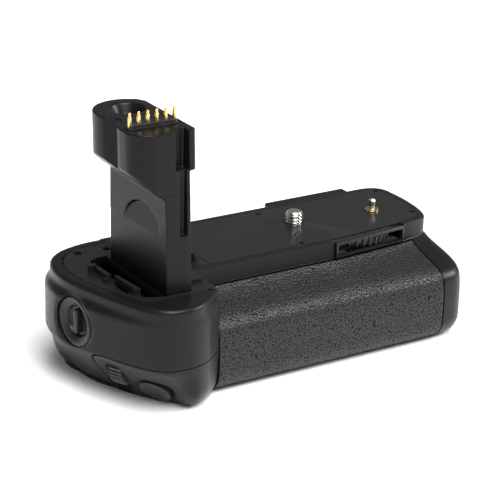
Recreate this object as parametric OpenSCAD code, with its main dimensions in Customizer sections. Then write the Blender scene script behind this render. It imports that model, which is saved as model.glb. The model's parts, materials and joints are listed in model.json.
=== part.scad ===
// Vertical battery grip for a reflex camera: bar with rubber front, deck with camera screw,
// stalk for the battery well, battery drawer behind a wrap-round end cap.
// X runs along the bar, -Y is the rubber front, Z is up, base at Z = 0.

/* [Body] */
// height of the deck above the base
deck_z = 39.2; // [39:0.1:39.6]
// wall thickness of the mouldings
wall = 2.0; // [1.8:0.1:2.2]
// thickness of the front rubber skin
rubber_t = 1.2; // [0.8:0.1:1.4]
// gap at seams between mouldings
seam = 0.3; // [0.2:0.05:0.4]

/* [Stalk] */
// height of the top of the stalk
stalk_top = 94.3; // [92:0.1:97]
// number of contact pins
pin_n = 6; // [4:1:6]
// spacing of the contact pins
pin_pitch = 3.3; // [3.1:0.1:3.4]
// height of the plunger tips above the contact block
pin_h = 4.2; // [3.9:0.1:4.4]

/* [Camera screw drive] */
// outside diameter of the camera screw thread
screw_d = 6.35; // [6.2:0.05:6.4]
// height of the screw above the deck
screw_h = 4.2; // [3.5:0.1:5.5]
// ribs on the thumbwheel, which are its gear teeth
wheel_teeth = 36; // [34:1:38]
// teeth on the screw pinion
pinion_teeth = 12; // [11:1:13]

/* [Controls] */
// radius of the shutter button
button_r = 5.8; // [5:0.1:6]
// travel of the shutter button
button_travel = 0.9; // [0.6:0.1:1]
// radius of the control dial
dial_r = 7.5; // [7:0.1:7.5]
// width of the control dial
dial_w = 5.0; // [4.5:0.1:5.2]
// radius of the lock knob
knob_r = 8.8; // [8.2:0.1:8.9]
// radius of the rear buttons
rear_r = 2.6; // [2.2:0.1:2.9]

/* [Battery] */
// diameter of one cell
cell_d = 14.5; // [13.8:0.1:14.5]
// length of one cell
cell_l = 50.5; // [49:0.1:50.5]

/* [Hidden] */
$fn = 48;
eps = 0.02;
rb = 8;                       // height of the rounding along the lower edge
RU = [[0,8],[6.7,8],[9,6],[11,5],[20,5]]; // its depth round the bar
seam_z = 17.75;               // height of the seam over the control corner
screw_xy = [24.6, 14.8];
shank_r = 2.4;                // the screw below the deck
mesh_a = -19.9;               // direction from the screw to the thumbwheel
mesh_d = 20;
wheel_xy = screw_xy + mesh_d * [cos(mesh_a), sin(mesh_a)];
gear_m = 2 * mesh_d / (wheel_teeth + pinion_teeth);
wheel_z = 34.3;
wheel_h = 2.7;
pin_xy = [56.8, 11.3];
socket_xy = [10, -12.4];
knob_p = [-73.5, 0, 25.3];
knob_c = 188.5;
btn_p = [-54.4, -23.9, 5.8];
btn_r = [0, 128.3, 212.5];
dial_p = [-62.4, -12.3, 7.8];
dial_rot = [0, 125.5, 204.7];
rear_x = [-38, -29, -20];
rear_z = 24;
tray_x = [-53, 56];
tray_y = [-4.6, 27.4];
tray_z = [3.7, 31.9];
tray_yc = 11.4;
cell_z = 11.75;
cell_up = 12.6;

// bar outline at the deck and at the fullest level, front left round to back left
TM = [[-31.7,-8.8],[-20,-8.8],[0,-8.8],[18,-8.8],[27,-8.9],[43,-7.9],[58,-6.4],[65,-5.2],[70.4,-3],[73,2],
      [74.3,8],[75,15],[75,22],[74.4,28],[72,31.2],[68,32.7],[61,32.9],[30,32.9],[0,32.9],[-25,32.9],[-45.7,32.9]];
BM = [[-31.7,-27.6],[-20,-27.6],[0,-27.6],[18,-27.6],[32,-27.6],[46,-27.6],[58,-27.6],[65,-27.2],[70.4,-25.8],[73.8,-22.2],
      [75,-14],[75,0],[75,14],[74.6,25],[72.4,31.6],[68,34],[61,34.5],[30,34.5],[0,34.5],[-25,34.5],[-45.7,34.5]];
// left block outline at the deck, at the fullest level and on the base, back round to front right
TL = [[-46,32.9],[-52,32.7],[-58,31.6],[-64,29.3],[-69,24.8],[-72,18],[-73,9.2],[-71.8,0.3],[-69.3,-8.5],[-66.8,-16.3],
      [-63.8,-24.2],[-60.3,-31],[-55.6,-35.2],[-50.5,-36.5],[-45.6,-36],[-41.2,-34],[-37.3,-31],[-34,-28.2],[-32.4,-27],[-32,-25.7]];
BL = [[-46,34.5],[-52.5,34.2],[-59,33],[-65.3,30.4],[-70.6,25.5],[-73.8,18.3],[-75,9],[-73.5,-0.3],[-70.8,-9.2],[-67.9,-17],
      [-64.5,-24.8],[-60.6,-31.3],[-55.8,-35.4],[-50.5,-36.5],[-45.3,-36.2],[-40.6,-34.4],[-36.4,-31.4],[-33,-28.6],[-32,-27.2],[-32,-25.7]];
FL = [[-46,29.5],[-52,29.2],[-57.8,27.6],[-62.2,24.4],[-64.6,19],[-64.6,12.5],[-63.5,5],[-61.2,-1.8],[-58.6,-7.8],[-55.4,-14],
      [-52,-19.6],[-49,-23.4],[-46.6,-26],[-44.6,-27.4],[-42.4,-27.6],[-39.6,-26.6],[-36.6,-24.6],[-34.4,-22.4],[-33,-21],[-32,-19.6]];
// how far each level has moved from the deck outline to the fullest outline
WF = [[0,1],[15,1],[20,.99],[23.4,.965],[25.6,.89],[27.1,.76],[28.2,.59],[29.5,.36],[31,.16],[32.2,.05],[32.8,0],[45,0]];
WL = [[0,1],[32,1],[33,.85],[34,.5],[35,.15],[36,0],[45,0]];
SS = [[0,1],[1.2,.94],[3,.84],[6,.66],[10,.42],[14,.17],[16.5,.03],[17.6,0],[45,0]];
KS = [[0,0],[2.5,0],[5,1],[11.5,1],[14.5,.15],[19,.15]];

function lerp(a, b, t) = a + (b - a) * t;
function mix(P, Q, w) = [for (i = [0 : len(P) - 1]) lerp(P[i], Q[i], w)];
function crv(P, u) = let (n = len(P) - 1, i = min(max(floor(u), 0), n - 1), t = u - i,
    a = P[max(i - 1, 0)], b = P[i], c = P[i + 1], d = P[min(i + 2, n)])
    0.5 * (2*b + (c - a)*t + (2*a - 5*b + 4*c - d)*t*t + (3*b - a - 3*c + d)*t*t*t);
function out2(P, u) = let (d = crv(P, min(u + .02, len(P) - 1)) - crv(P, max(u - .02, 0)), q = d / norm(d)) [q[1], -q[0]];
function rnd(z) = z < rb ? 1 - sqrt(max(0, 1 - pow((rb - z) / rb, 2))) : 0;
function edge(z, r) = let (h = z - (deck_z - r)) h > 0 ? r - sqrt(max(0, r*r - h*h)) : 0;
function bar(u, z, i = 0) = let (P = mix(TM, BM, lookup(z, WF)),
    p = crv(P, u) - out2(P, u) * (i + lookup(u, RU) * rnd(z) + edge(z, .6))) [p[0], p[1], z];
function block(u, z, i = 0) = let (P = mix(TL, BL, lookup(z, WL)), k = lookup(u, KS),
    s = k * lookup(z, SS) + (1 - k) * rnd(z),
    p = lerp(crv(P, u), crv(FL, u), s) - out2(P, u) * (i + edge(z, 2.2))) [p[0], p[1], z];
// outward direction at a grid point
function nrm(G, i, j) = let (n = len(G) - 1, m = len(G[0]) - 1,
    c = cross(G[min(i + 1, n)][j] - G[max(i - 1, 0)][j], G[i][min(j + 1, m)] - G[i][max(j - 1, 0)])) c / norm(c);
// flat direction for the upright walls, full direction below them
function dir(G, i, j, zf) = let (n = nrm(G, i, j)) G[i][j][2] > zf ? let (f = [n[0], n[1], 0]) f / norm(f) : n;
function inward(G, d, zf) = [for (i = [0 : len(G) - 1]) [for (j = [0 : len(G[0]) - 1]) G[i][j] - dir(G, i, j, zf) * d]];

// closed solid between an outer and an inner grid, rows from the top down, columns anticlockwise from above;
// cells marked false in A stay open
module skin(G, H, A = []) {
    n = len(G); m = len(G[0]); o = n * m;
    function on(i, j) = i >= 0 && j >= 0 && i < n - 1 && j < m - 1 && (len(A) == 0 || A[i][j]);
    q = [for (i = [0 : n - 2]) for (j = [0 : m - 2]) if (on(i, j)) let (a = i*m + j, b = a + 1, c = b + m, d = a + m)
        each concat([[a, b, c, d], [o + a, o + d, o + c, o + b]],
            on(i - 1, j) ? [] : [[b, a, o + a, o + b]], on(i + 1, j) ? [] : [[d, c, o + c, o + d]],
            on(i, j - 1) ? [] : [[a, d, o + d, o + a]], on(i, j + 1) ? [] : [[c, b, o + b, o + c]])];
    polyhedron([for (r = concat(G, H)) for (p = r) p],
        [for (f = q) for (t = [0, 1]) t == 0 ? [f[0], f[1], f[2]] : [f[0], f[2], f[3]]], convexity = 8);
}
module box(a, b) { translate(a) cube(b - a); }
module rod(p, r, z0, z1) { translate([p[0], p[1], z0]) cylinder(r = r, h = z1 - z0); }
module slab(z0, z1) { translate([0, 0, z0]) linear_extrude(z1 - z0) children(); }
// profile drawn in Y and Z, pushed along X
module along_x(x0, x1) { translate([x0, 0, 0]) rotate([90, 0, 90]) linear_extrude(x1 - x0) children(); }
module rrect(x0, y0, x1, y1, r) {
    translate([x0 + r, y0]) square([x1 - x0 - 2*r, y1 - y0]);
    translate([x0, y0 + r]) square([x1 - x0, y1 - y0 - 2*r]);
    for (x = [x0 + r, x1 - r], y = [y0 + r, y1 - r]) translate([x, y]) circle(r = r);
}
// place along the rear wall for a given x
function ux(x, a = 17, b = 20, k = 0) = let (m = (a + b) / 2) k == 30 ? m : crv(BM, m)[0] > x ? ux(x, m, b, k + 1) : ux(x, a, m, k + 1);
hole_r = rear_r + 1;
slot_x = [-2.8, -12.2];
slot_h = 1.7;
win_u = [3.94, 6.08];
bar_u = concat([0, 1, 2, 3, 3.5, win_u[0], 4.5, 5, 5.5, win_u[1], 6.4, 6.68, 6.72], [for (u = [7 : 0.35 : 10.6]) u],
    [11, 12, 12.5, 13, 13.4, 13.8, 14.2, 14.6, 15, 15.5, 16, 17], [for (x = slot_x) ux(x)], [for (k = [2, 1, 0]) for (d = [1, 0, -1]) ux(rear_x[k] + d * hole_r)], [20]);
bar_z = [deck_z, deck_z - .2, deck_z - .6, 36, 32.8, 32.5, 31.4, 30, 28.8, rear_z + hole_r, rear_z + slot_h, rear_z, rear_z - slot_h, rear_z - hole_r, 18, 13, 8,
    5.2, 2.9, 1.5, .9, .6, 0];
// corners of the square openings for the rear buttons drawn in to make them eight-sided
function cut_in(u, z) = let (c = [for (x = rear_x) for (d = [-1, 1]) if (abs(u - ux(x + d * hole_r)) < .001 && abs(abs(z - rear_z) - hole_r) < .001)
    bar(ux(x + d * hole_r * .707), rear_z + sign(z - rear_z) * hole_r * .707)]) len(c) > 0 ? c[0] : bar(u, z);
skin_z = [32.4, 31.4, 30, 28.8, 27.8, 26.6, 25, 23, 19, 13, 8, 5.2, 2.9, 1.5, 1];

/* ---------- housing ---------- */
module main_housing() color([.09, .09, .095]) {
    G = [for (z = bar_z) [for (u = bar_u) cut_in(u, z)]];
    O = [for (i = [0 : len(G) - 1]) [for (j = [0 : len(G[0]) - 1])
        G[i][j][2] < 32.6 && G[i][j][2] > .7 && bar_u[j] < 6.7 ? G[i][j] - dir(G, i, j, 33) * (rubber_t + .1) : G[i][j]]];
    H = [for (i = [0 : len(G) - 1]) [for (j = [0 : len(G[0]) - 1]) G[i][j] - dir(G, i, j, 33) *
        (G[i][j][2] < 32.7 && bar_u[j] < 6.8 ? wall + 1 : wall)]];
    A = [for (i = [0 : len(G) - 2]) [for (j = [0 : len(G[0]) - 2])
        let (z = (bar_z[i] + bar_z[i + 1]) / 2, u = (bar_u[j] + bar_u[j + 1]) / 2, x = crv(BM, u)[0])
        !(z > 32.8 && u > win_u[0] && u < win_u[1])
        && !(u > 17 && abs(z - rear_z) < hole_r && len([for (b = rear_x) if (abs(x - b) < hole_r) b]) > 0)
        && !(u > 17 && abs(z - rear_z) < slot_h && x < slot_x[0] && x > slot_x[1])]];
    skin(O, H, A);
}
module rear_lug() color([.085, .085, .09])
    along_x(25.4, 60.8) polygon([[33, deck_z - .1], [36.5, deck_z - .1], [36.5, 34], [34.7, 29.5], [33.9, 29.5], [33.2, 32.6]]);
module main_deck() color([.07, .07, .075]) difference() {
    slab(deck_z - 1.9, deck_z) polygon(concat([[-23.2, -8.8 + wall + seam]],
        [for (u = concat([1.5, 2, 3, 3.5, 4, 4.5, 5, 5.5, 6, 6.5], [for (u = [7 : 0.34 : 15.2]) u], [16, 17, 18])) let (p = bar(u, 36, wall + .3)) [p[0], p[1]]],
        [[-23.2, 32.9 - wall - seam]]));
    rod(screw_xy, screw_d / 2 + .35, 30, 50);
    rod(wheel_xy, 1.5, 30, deck_z - .8);
    rod(pin_xy, 1.2, 30, 50);
    rod(pin_xy, 2.8, deck_z - .6, 50);
    for (p = deck_screw_xy) { rod(p, .6, 30, 50); rod(p, 1.15, deck_z - .9, 50); }
}
deck_screw_xy = [[17, 27.4], [15.2, -4.4], [70, 27.6], [69, 3]];
module deck_screws() color([.12, .12, .12]) for (p = deck_screw_xy) difference() {
    union() { rod(p, 1.1, deck_z - .85, deck_z - .15); rod(p, .55, deck_z - 1.85, deck_z - .8); }
    for (a = [0, 90]) translate([p[0], p[1], deck_z - .3]) rotate(a) box([-.7, -.15, -.1], [.7, .15, 1]);
}
stalk_deck_pts = [[-32, -25.4], [-32, -6.5], [-23.5, -6.5], [-23.5, 30.6], [-45.6, 30.6], [-45.6, 28.4], [-52, 28.2], [-58, 27.2], [-63, 24.6],
    [-66.6, 20], [-68.4, 14], [-68.8, 8], [-67.8, 0], [-65.4, -8.5], [-62.8, -16.5], [-60.4, -22.4], [-58.6, -25.4]];
pocket_pts = [[-60.6, 9.5], [-59.6, 13], [-57.7, 16], [-54.6, 17.2], [-51.2, 17.2], [-51.2, -23.6], [-53.9, -22.4], [-57.4, -20.8], [-57.2, -18], [-58.6, -3], [-60.2, 6]];
// catches for the battery door that is kept in the pocket
module catches() {
    slab(34.7, deck_z + 1.8) polygon([[-61.4, 6.6], [-60, 6.6], [-59.7, -2.4], [-61.2, -2.4]]);
    slab(34.7, deck_z + 1) polygon([[-62.8, -1.8], [-60, -1.8], [-60, -3.8], [-62.6, -3.8]]);
    slab(34.7, deck_z + 2.4) polygon([[-63.2, 6.2], [-60.6, 6.2], [-60.6, 8], [-63.2, 8]]);
    slab(34.7, deck_z + 1.8) polygon([[-59.3, -3.6], [-58.1, -3.6], [-56.8, -17.8], [-58.4, -17.8]]);
    slab(34.7, deck_z + 1.8) polygon([[-59.2, -16.2], [-57.2, -16.2], [-56.9, -18], [-59.2, -18]]);
}
module stalk_deck() color([.08, .08, .085]) {
    difference() {
        union() {
            slab(34.3, deck_z) polygon(stalk_deck_pts);
            box([-33.8, -25.4, 24], [-32, -8.6, deck_z - .1]);
            rod([-26.6, -.6], 1.7, 36, deck_z + 3);
            box([-38.8, -18, deck_z - 1], [-33, -10.5, deck_z + 1.2]);
        }
        slab(35, 50) polygon(pocket_pts);
        slab(35, 50) polygon([[-60.4, -5], [-58.4, -5], [-57.6, -15.8], [-60.9, -15.4], [-61.2, -10]]);
        box([-51.1, -23.7, 36], [-40.3, 14.7, 60]);
        for (p = [[-58.9, 24], [-48.1, 23]]) { rod(p, 1.5, 36.4, 50); rod(p, .8, 30, 50); }
    }
    catches();
}
module stalk_screws() color([.2, .2, .2]) for (p = [[-58.9, 24], [-48.1, 23]]) difference() {
    union() { rod(p, 1.4, 36.45, 37.6); rod(p, .75, 34.4, 36.6); }
    for (a = [20, 110]) translate([p[0], p[1], 37.2]) rotate(a) box([-1, -.2, 0], [1, .2, 2]);
}
module bottom_cover() color([.08, .08, .085]) difference() {
    union() {
        slab(0, 2.2) polygon(concat([[-31.6, -27.6 + rb + seam]],
            [for (u = concat([1, 3, 5, 6, 6.5], [for (u = [7 : 0.4 : 15.2]) u], [16, 18, 20])) let (p = bar(u, 10, lookup(u, RU) + .3)) [max(p[0], -45.7), p[1]]], [[-45.7, -6], [-31.6, -6]]));
        slab(0, 2.2) polygon(concat([[-45, -6], [-45, 29]], [for (u = [0.5 : 0.5 : 7]) let (p = block(u, 1.2, .6)) [p[0], min(p[1], 29)]], [[-59, -6]]));
    }
    rod(socket_xy, 5, -1, 5);
    for (p = case_screw_xy) { rod(p, 1.1, -1, 5); rod(p, 2.1, -1, 1.2); }
}
case_screw_xy = [[-26, -15], [45, -15], [67, 0], [67, 22]];
module case_screws() color([.3, .3, .3]) for (p = case_screw_xy) difference() {
    union() { rod(p, 2, .3, 1.15); rod(p, .75, 1.1, 9); }
    for (a = [0, 90]) translate([p[0], p[1], 0]) rotate(a) box([-1.2, -.25, -1], [1.2, .25, .7]);
}
module grip_rubber() color([.13, .13, .13]) {
    us = [.02, 1, 2, 3, 3.5, 4, 4.5, 5, 5.5, 6, 6.3, 6.66];
    G = [for (z = skin_z) [for (u = us) bar(u, z)]];
    skin(G, inward(G, rubber_t, 40));
}
module rear_rubber() color([.13, .13, .13]) {
    us = [16.15, 16.4, 16.7, 17.1];
    zs = [28, 26, 23, 19, 14, 10];
    G = [for (z = zs) [for (u = us) bar(u, z, -1.4)]];
    skin(G, [for (z = zs) [for (u = us) bar(u, z, -.05)]]);
}
module window_frame() color([.06, .06, .065]) translate([42.5, -8, 0]) rotate([0, 0, 4.8]) difference() {
    box([-15.9, -.9, 32.95], [15.9, 1, 39]);
    box([-14.4, -3, 33.95], [14.4, 3, 37.4]);
}
/* ---------- left block ---------- */
// lower edge of the cap round the block, and how far its top lip reaches in
CB = [[0, 2.7], [7.7, 2.7], [7.72, 11.6], [7.82, 14.6], [7.97, 16.35], [8.27, 17.4], [8.7, 17.85], [19, 17.85]];
TI = [[0, 4.2], [5, 4.2], [6, 4], [7, 3.7], [8, 3.4], [19, 3.4]];
cap_u = concat([for (u = [0 : 0.5 : 7]) u], [7.35, 7.6, 7.7, 7.72, 7.82, 7.97, 8.27, 8.7], [for (u = [9 : 0.5 : 19]) u]);
cap_zo = [deck_z, deck_z - .5, deck_z - 1.2, deck_z - 2.2, 36, 35, 34, 33, 32, 28, 24, 21];
cap_zi = [deck_z - 2, deck_z - 2.2, deck_z - 2.4, deck_z - 2.7, 35.9, 35, 34, 33, 32, 28, 24, 21];
function lip(u, z) = let (p = block(u, 36.5, lookup(u, TI))) p[1] < -25.7 ? [min(p[0], -34), -25.7, z] : [p[0], p[1], z];
function cap_grid(zs, ins) = concat([[for (u = cap_u) lip(u, zs[0])]], [for (z = zs) [for (u = cap_u) block(u, z, ins)]],
    [for (t = [.2, .4, .6, .8, 1]) [for (u = cap_u) block(u, lerp(21, lookup(u, CB), t), ins)]]);
module drawer_cap() color([.1, .1, .105]) difference() {
    skin(cap_grid(cap_zo, 0), cap_grid(cap_zi, wall));
    translate(knob_p) rotate([0, 90, knob_c]) translate([0, 0, -12]) cylinder(r = knob_r + .3, h = 20);
}
// inner carrier: bearing for the knob, plate and standoffs for the tray
module cap_carrier() color([.12, .12, .125]) difference() {
    union() {
        translate(knob_p) rotate([0, 90, knob_c]) translate([0, 0, -7.6]) cylinder(r = 9.4, h = 2.6);
        box([-68, -1.5, 16.7], [-56, 4.5, 18.3]);
        box([-57.5, -3, 6], [-55.5, 25, 30]);
        for (p = [[20, 10], [20, 26], [1, 10]]) translate([-56, p[0], p[1]]) rotate([0, 90, 0]) cylinder(r = 2.5, h = 2.95);
    }
    translate(knob_p) rotate([0, 90, knob_c]) translate([0, 0, -9]) cylinder(r = 2.45, h = 9);
    box([-72, -12, 32.6], [-60, 12, 36]);
}
// height of the seam over the corner, falling at its left end
CZ = [[7.78, 11.5], [7.88, 14.2], [8.02, 15.9], [8.3, 17], [8.7, 17.5], [19, 17.5]];
corner_u = concat([7.78, 7.88, 8.02, 8.3, 8.7], [for (u = [9 : 0.5 : 19]) u]);
corner_t = [1, .85, .7, .55, .42, .3, .2, .12, .05, 0];
corner_c = [-35.5, -7.5];
function corner_grid(z0, ins) = concat(
    [for (t = corner_t) [for (u = corner_u) block(u, lerp(z0, lookup(u, CZ), t), ins)]],
    [for (t = [.2, .5, .9]) [for (u = corner_u) let (p = block(u, z0, ins), q = lerp([p[0], p[1]], corner_c, t)) [q[0], q[1], z0]]]);
module control_cover() color([.095, .095, .1]) difference() {
    skin(corner_grid(0, 0), corner_grid(wall, wall));
    translate(btn_p) rotate(btn_r) translate([0, 0, -8]) cylinder(r = button_r + .2, h = 14);
    translate(dial_p) rotate(dial_rot) translate([0, 0, -dial_r + 1.9]) rotate([90, 0, 0]) cylinder(r = dial_r + .5, h = dial_w + .8, center = true);
}
module shutter_button() color([.07, .07, .07]) translate(btn_p) rotate(btn_r) {
    difference() {
        translate([0, 0, -1.9]) cylinder(r = button_r, h = 2.4);
        translate([0, 0, 24.2]) sphere(r = 24);
    }
    translate([0, 0, -3.6]) cylinder(r = 1.6, h = 2);
}
module shutter_switch() color([.25, .25, .25]) translate(btn_p) rotate(btn_r) {
    box([-3, -3, -7.6], [3, 3, -4.9]);
    translate([0, 0, -5]) cylinder(r = 1.4, h = .3);
}
module control_dial() color([.05, .05, .05]) translate(dial_p) rotate(dial_rot) translate([0, 0, -dial_r + 1.9]) rotate([90, 0, 0]) difference() {
    translate([0, 0, -dial_w / 2]) linear_extrude(dial_w) polygon([for (i = [0 : 23]) for (k = [0 : 3])
        let (a = 15 * i + [-5, -2.6, 2.6, 5][k], r = dial_r + [-.7, 0, 0, -.7][k]) r * [cos(a), sin(a)]]);
    cylinder(r = 1.05, h = 20, center = true);
}
module dial_axle() color([.7, .7, .7]) translate(dial_p) rotate(dial_rot) translate([0, 0, -dial_r + 1.9]) rotate([90, 0, 0])
    cylinder(r = 1, h = dial_w + 3.2, center = true);
module dial_bracket() color([.3, .3, .3]) translate(dial_p) rotate(dial_rot) translate([0, 0, -dial_r + 1.9]) rotate([90, 0, 0]) difference() {
    union() for (s = [-1, 1]) translate([0, 0, s * (dial_w / 2 + .95)]) { cylinder(r = 2.4, h = 1, center = true); box([-2.4, -2.6, -.5], [2.4, 2.6, .5]); }
    cylinder(r = 1, h = 30, center = true);
}
module lock_knob() color([.06, .06, .065]) translate(knob_p) rotate([0, 90, knob_c]) {
    rotate_extrude() polygon([[0, -4.4], [knob_r, -4.4], [knob_r, -1.2], [knob_r - .5, -.95], [5.4, -2.1], [5, -3.5], [0, -3.5]]);
    box([-4.3, -1.1, -3.6], [4.3, 1.1, -1.4]);
    translate([0, 0, -13]) cylinder(r = 2.4, h = 8.7);
}
module latch_arm() color([.7, .7, .72]) translate(knob_p) rotate([0, 90, knob_c]) translate([0, 0, -12.2]) difference() {
    union() { cylinder(r = 4, h = 1.6); box([-2, -8.8, 0], [2, 0, 1.6]); }
    translate([0, 0, -1]) cylinder(r = 2.4, h = 5);
}
module latch_keeper() color([.7, .7, .72]) difference() {
    box([-66, -3, 33], [-45, 12, 34]);
    box([-64.6, -1.4, 30], [-61, 9.6, 40]);
}
/* ---------- battery ---------- */
module post(p, h) difference() { rod(p, 2.6, 2.4, h); rod(p, .8, 0, 12); }
module bay_frame() color([.12, .12, .12]) {
    difference() {
        box([-51, -5.9, 2.6], [58.4, 28.7, 32.9]);
        box([-60, -4.9, 3.4], [57.4, 27.7, 32.2]);
        box([34, -7, 28.6], [60, -3.4, 34]);
    }
    box([-31.2, -22.5, 5], [-29.8, -5.8, 22]);
    for (x = [-26, 45]) { post([x, -15], 24); box([x - 1, -13.2, 2.6], [x + 1, -5.8, 4.7]); }
    for (y = [0, 22]) { post([67, y], 31); box([58.3, y - 1, 2.6], [65.6, y + 1, 12]); }
}
module bay_contacts() color([.8, .65, .3]) for (y = [4, 11.4, 18.8]) box([56.4, y - 2, 8], [57.35, y + 2, 16]);
module tray_end(x0, x1) along_x(x0, x1) polygon([[tray_y[0], tray_z[0]], [tray_y[1], tray_z[0]], [tray_y[1], 19], [19.4, tray_z[1]], [3.4, tray_z[1]], [tray_y[0], 19]]);
module battery_tray() color([.16, .16, .17]) {
    tray_end(tray_x[0], tray_x[0] + 1.8);
    tray_end(.5, 2.5);
    tray_end(tray_x[1] - 1.8, tray_x[1]);
    box([tray_x[0] + 1, tray_y[0], tray_z[0]], [tray_x[1] - 1, tray_y[1], tray_z[0] + .6]);
    for (y = [tray_y[0], tray_y[1] - 1.1]) box([tray_x[0] + 1, y, tray_z[0]], [tray_x[1] - 1, y + 1.1, 11]);
}
cell_at = [[tray_yc - 7.3, cell_z], [tray_yc + 7.3, cell_z], [tray_yc, cell_z + cell_up + .15]];
module cells() color([.55, .5, .35]) for (c = cell_at, x = [-50.6, 3.1]) translate([x, c[0], c[1]]) rotate([0, 90, 0]) {
    cylinder(r = cell_d / 2 - .05, h = cell_l - 1.3);
    translate([0, 0, cell_l - 1.4]) cylinder(r = 2.6, h = 1.4);
}
module tray_contacts() color([.75, .75, .75]) for (c = cell_at, x = [-51.2, -.05, 2.5, 53.65]) translate([x, c[0], c[1]]) rotate([0, 90, 0]) cylinder(r = 4.4, h = .5);
/* ---------- screw drive ---------- */
function teeth(n, ra, rr, ht, hr, ph) = [for (i = [0 : n - 1]) for (k = [0 : 3])
    let (a = 360 * i / n + ph + [-hr / rr, -ht / ra, ht / ra, hr / rr][k] * 180 / PI, r = [rr, ra, ra, rr][k]) r * [cos(a), sin(a)]];
module thumbwheel() color([.05, .05, .05]) translate([wheel_xy[0], wheel_xy[1], wheel_z]) difference() {
    linear_extrude(wheel_h) polygon(teeth(wheel_teeth, gear_m * (wheel_teeth / 2 + .66), gear_m * (wheel_teeth / 2 - 1), .32, .76, 180 + mesh_a));
    translate([0, 0, -1]) cylinder(r = 1.55, h = 10);
    translate([0, 0, wheel_h - .6]) rotate_extrude() translate([4, 0]) square([7, 2]);
}
module wheel_axle() color([.7, .7, .7]) rod(wheel_xy, 1.5, 33.05, deck_z - .9);
module camera_screw() color([.75, .73, .68]) translate([screw_xy[0], screw_xy[1], 0]) rotate_extrude() polygon([[0, 33.1], [1.95, 33.1], [1.95, 34],
    [shank_r, 34], [shank_r, deck_z + .05], [screw_d / 2, deck_z + .05], [screw_d / 2, deck_z + screw_h - .7], [screw_d / 2 - .7, deck_z + screw_h], [0, deck_z + screw_h]]);
module screw_pinion() color([.6, .5, .25]) translate([screw_xy[0], screw_xy[1], wheel_z]) difference() {
    linear_extrude(wheel_h) polygon(teeth(pinion_teeth, gear_m * (pinion_teeth / 2 + .6), gear_m * (pinion_teeth / 2 - 1.02), .3, .74, mesh_a + 180 / pinion_teeth));
    translate([0, 0, -1]) cylinder(r = shank_r, h = 10);
}
module drive_bracket() color([.6, .6, .6]) difference() {
    slab(33, 33.8) rrect(17, -2, 58, 24, 3);
    rod(screw_xy, 2, 30, 50);
    rod(wheel_xy, 1.5, 30, 50);
}
module locating_pin() color([.78, .77, .72]) translate([pin_xy[0], pin_xy[1], 0]) rotate_extrude() polygon([[0, deck_z - 1.8], [1.2, deck_z - 1.8],
    [1.2, deck_z + .6], [.95, deck_z + .6], [.95, deck_z + 1.9], [1.25, deck_z + 1.9], [1.25, deck_z + 4], [.85, deck_z + 4.5], [0, deck_z + 4.5]]);
module pin_flange() color([.7, .6, .35]) difference() { rod(pin_xy, 2.7, deck_z - .58, deck_z + .6); rod(pin_xy, 1.2, 30, 60); }
module tripod_socket() color([.72, .6, .35]) difference() {
    union() { rod(socket_xy, 4.9, 0, 8.5); rod(socket_xy, 6.1, 2.3, 3.4); }
    rod(socket_xy, 3.175, -1, 7);
}
/* ---------- stalk ---------- */
function front(z) = -23.2 + (z - deck_z) * tan(2.8);   // the front face leans back a little
module head_outline() polygon(concat([[-37.6, -19], [-37.6, 14.2], [-39.4, 17.4]], [for (a = [60 : 10 : 200]) [-47.6 + 12.1 * cos(a), 8 + 12.1 * sin(a)]],
    [[-57.4, 2.8], [-55.8, 1.4], [-55.3, -1], [-56.2, -3.4], [-58.6, -5], [-59.9, -7], [-60.2, -9.4]], [for (a = [180 : 10 : 270]) [-52.2 + 8 * cos(a), -12.5 + 8 * sin(a)]], [[-38.8, -20.5]]));
module front_slots() {
    box([-45.8, -30, 80.8], [-40.7, -16.8, 100]);
    box([-44.6, -30, 58.3], [-41.8, -19.6, 81]);
}
// left side of the core, turned a little so that it narrows to the front
module left_side() { translate([-49.8, -23.2, 0]) rotate([0, 0, 1.82]) children(); }
module stalk_core() color([.085, .085, .09]) difference() {
    union() {
        along_x(-51.2, -40.4) polygon([[front(36.1), 36.1], [14.6, 36.1], [14.6, 58], [15, 58], [15, 71.6], [front(71.6), 71.6]]);
        box([-49.2, -15.5, 71.5], [-41.2, 2.4, stalk_top - 7]);
    }
    left_side() box([-10, -5, 30], [0, 45, 80]);
    left_side() translate([0, 16.6, 57.8]) rotate([0, 9.5, 0]) translate([0, 0, -4]) rotate([0, -90, 0]) cylinder(r = 12.9, h = 8);
    front_slots();
}
module stalk_head() color([.085, .085, .09]) difference() {
    translate([0, -20.5, stalk_top]) rotate([-2.8, 0, 0]) translate([0, 20.5, -stalk_top]) slab(60, 104) head_outline();
    box([-80, -60, stalk_top], [0, 60, 130]);
    box([-80, -60, 40], [0, 60, 71.66]);
    translate([-49.8, 0, 71.66]) rotate([0, 41.5, 0]) box([-40, -60, -40], [0, 60, 0]);
    box([-40.4, -60, 60], [-30, 60, 80.6]);
    box([-52, 15, 60], [-30, 60, 78]);
    box([-49.26, -15.56, 60], [-41.14, 2.46, stalk_top - 6.9]);
    front_slots();
    translate([-47.2, 9.6, stalk_top - 5.5]) cylinder(r1 = 3.2, r2 = 6.1, h = 5.6);
    rod([-50.2, -18.4], .8, stalk_top - 1.2, 100);
    slab(stalk_top - .5, 100) rrect(-58.5, -12.5, -39.5, -8.3, 1.7);
}
block_h = 1.4;                // height of the contact block above the stalk
pin_x = -57.4;
pin_y = -10.9;
module contact_block() color([.05, .05, .055]) difference() {
    slab(stalk_top - .45, stalk_top + block_h) rrect(-58.4, -12.4, -39.6, -8.4, 1.6);
    for (i = [0 : pin_n - 1]) rod([pin_x + pin_pitch * i, pin_y], .7, 80, 120);
}
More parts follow.
